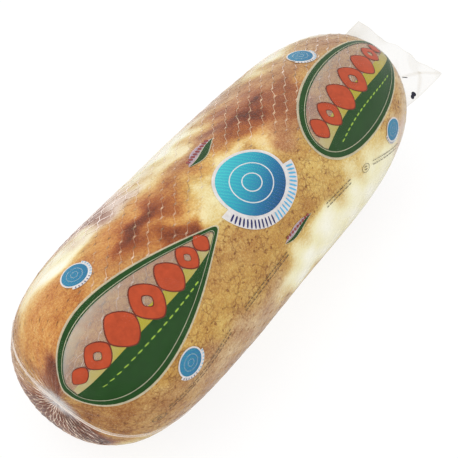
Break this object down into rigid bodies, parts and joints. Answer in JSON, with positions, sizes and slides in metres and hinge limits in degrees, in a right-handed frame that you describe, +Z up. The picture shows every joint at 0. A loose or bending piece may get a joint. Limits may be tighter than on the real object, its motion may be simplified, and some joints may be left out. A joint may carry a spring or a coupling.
{
  "type": "smoked scamorza",
  "caption": "Whole smoked stretched-curd cheese log in a fine net, sealed tight in a clear printed bag with a flat free tail.",
  "frame": {"origin": "on the surface the log rests on, under the middle of the pack's box", "axes": "+X along the log from the bag's weld to its free tail, +Z up, printed face up and leaning to -Y"},
  "size_m": [0.3773, 0.1136, 0.111],
  "materials": {
    "smoked_rind": "smoked cheese rind, golden tan with cream and brown patches, under glossy clear film",
    "clear_film": "clear glossy shrink film"
  },
  "bodies": {
    "root": {"packed_scamorza": "smoked_rind", "bag_tail": "clear_film", "bag_end_weld": "clear_film"}
  },
  "joints": []
}
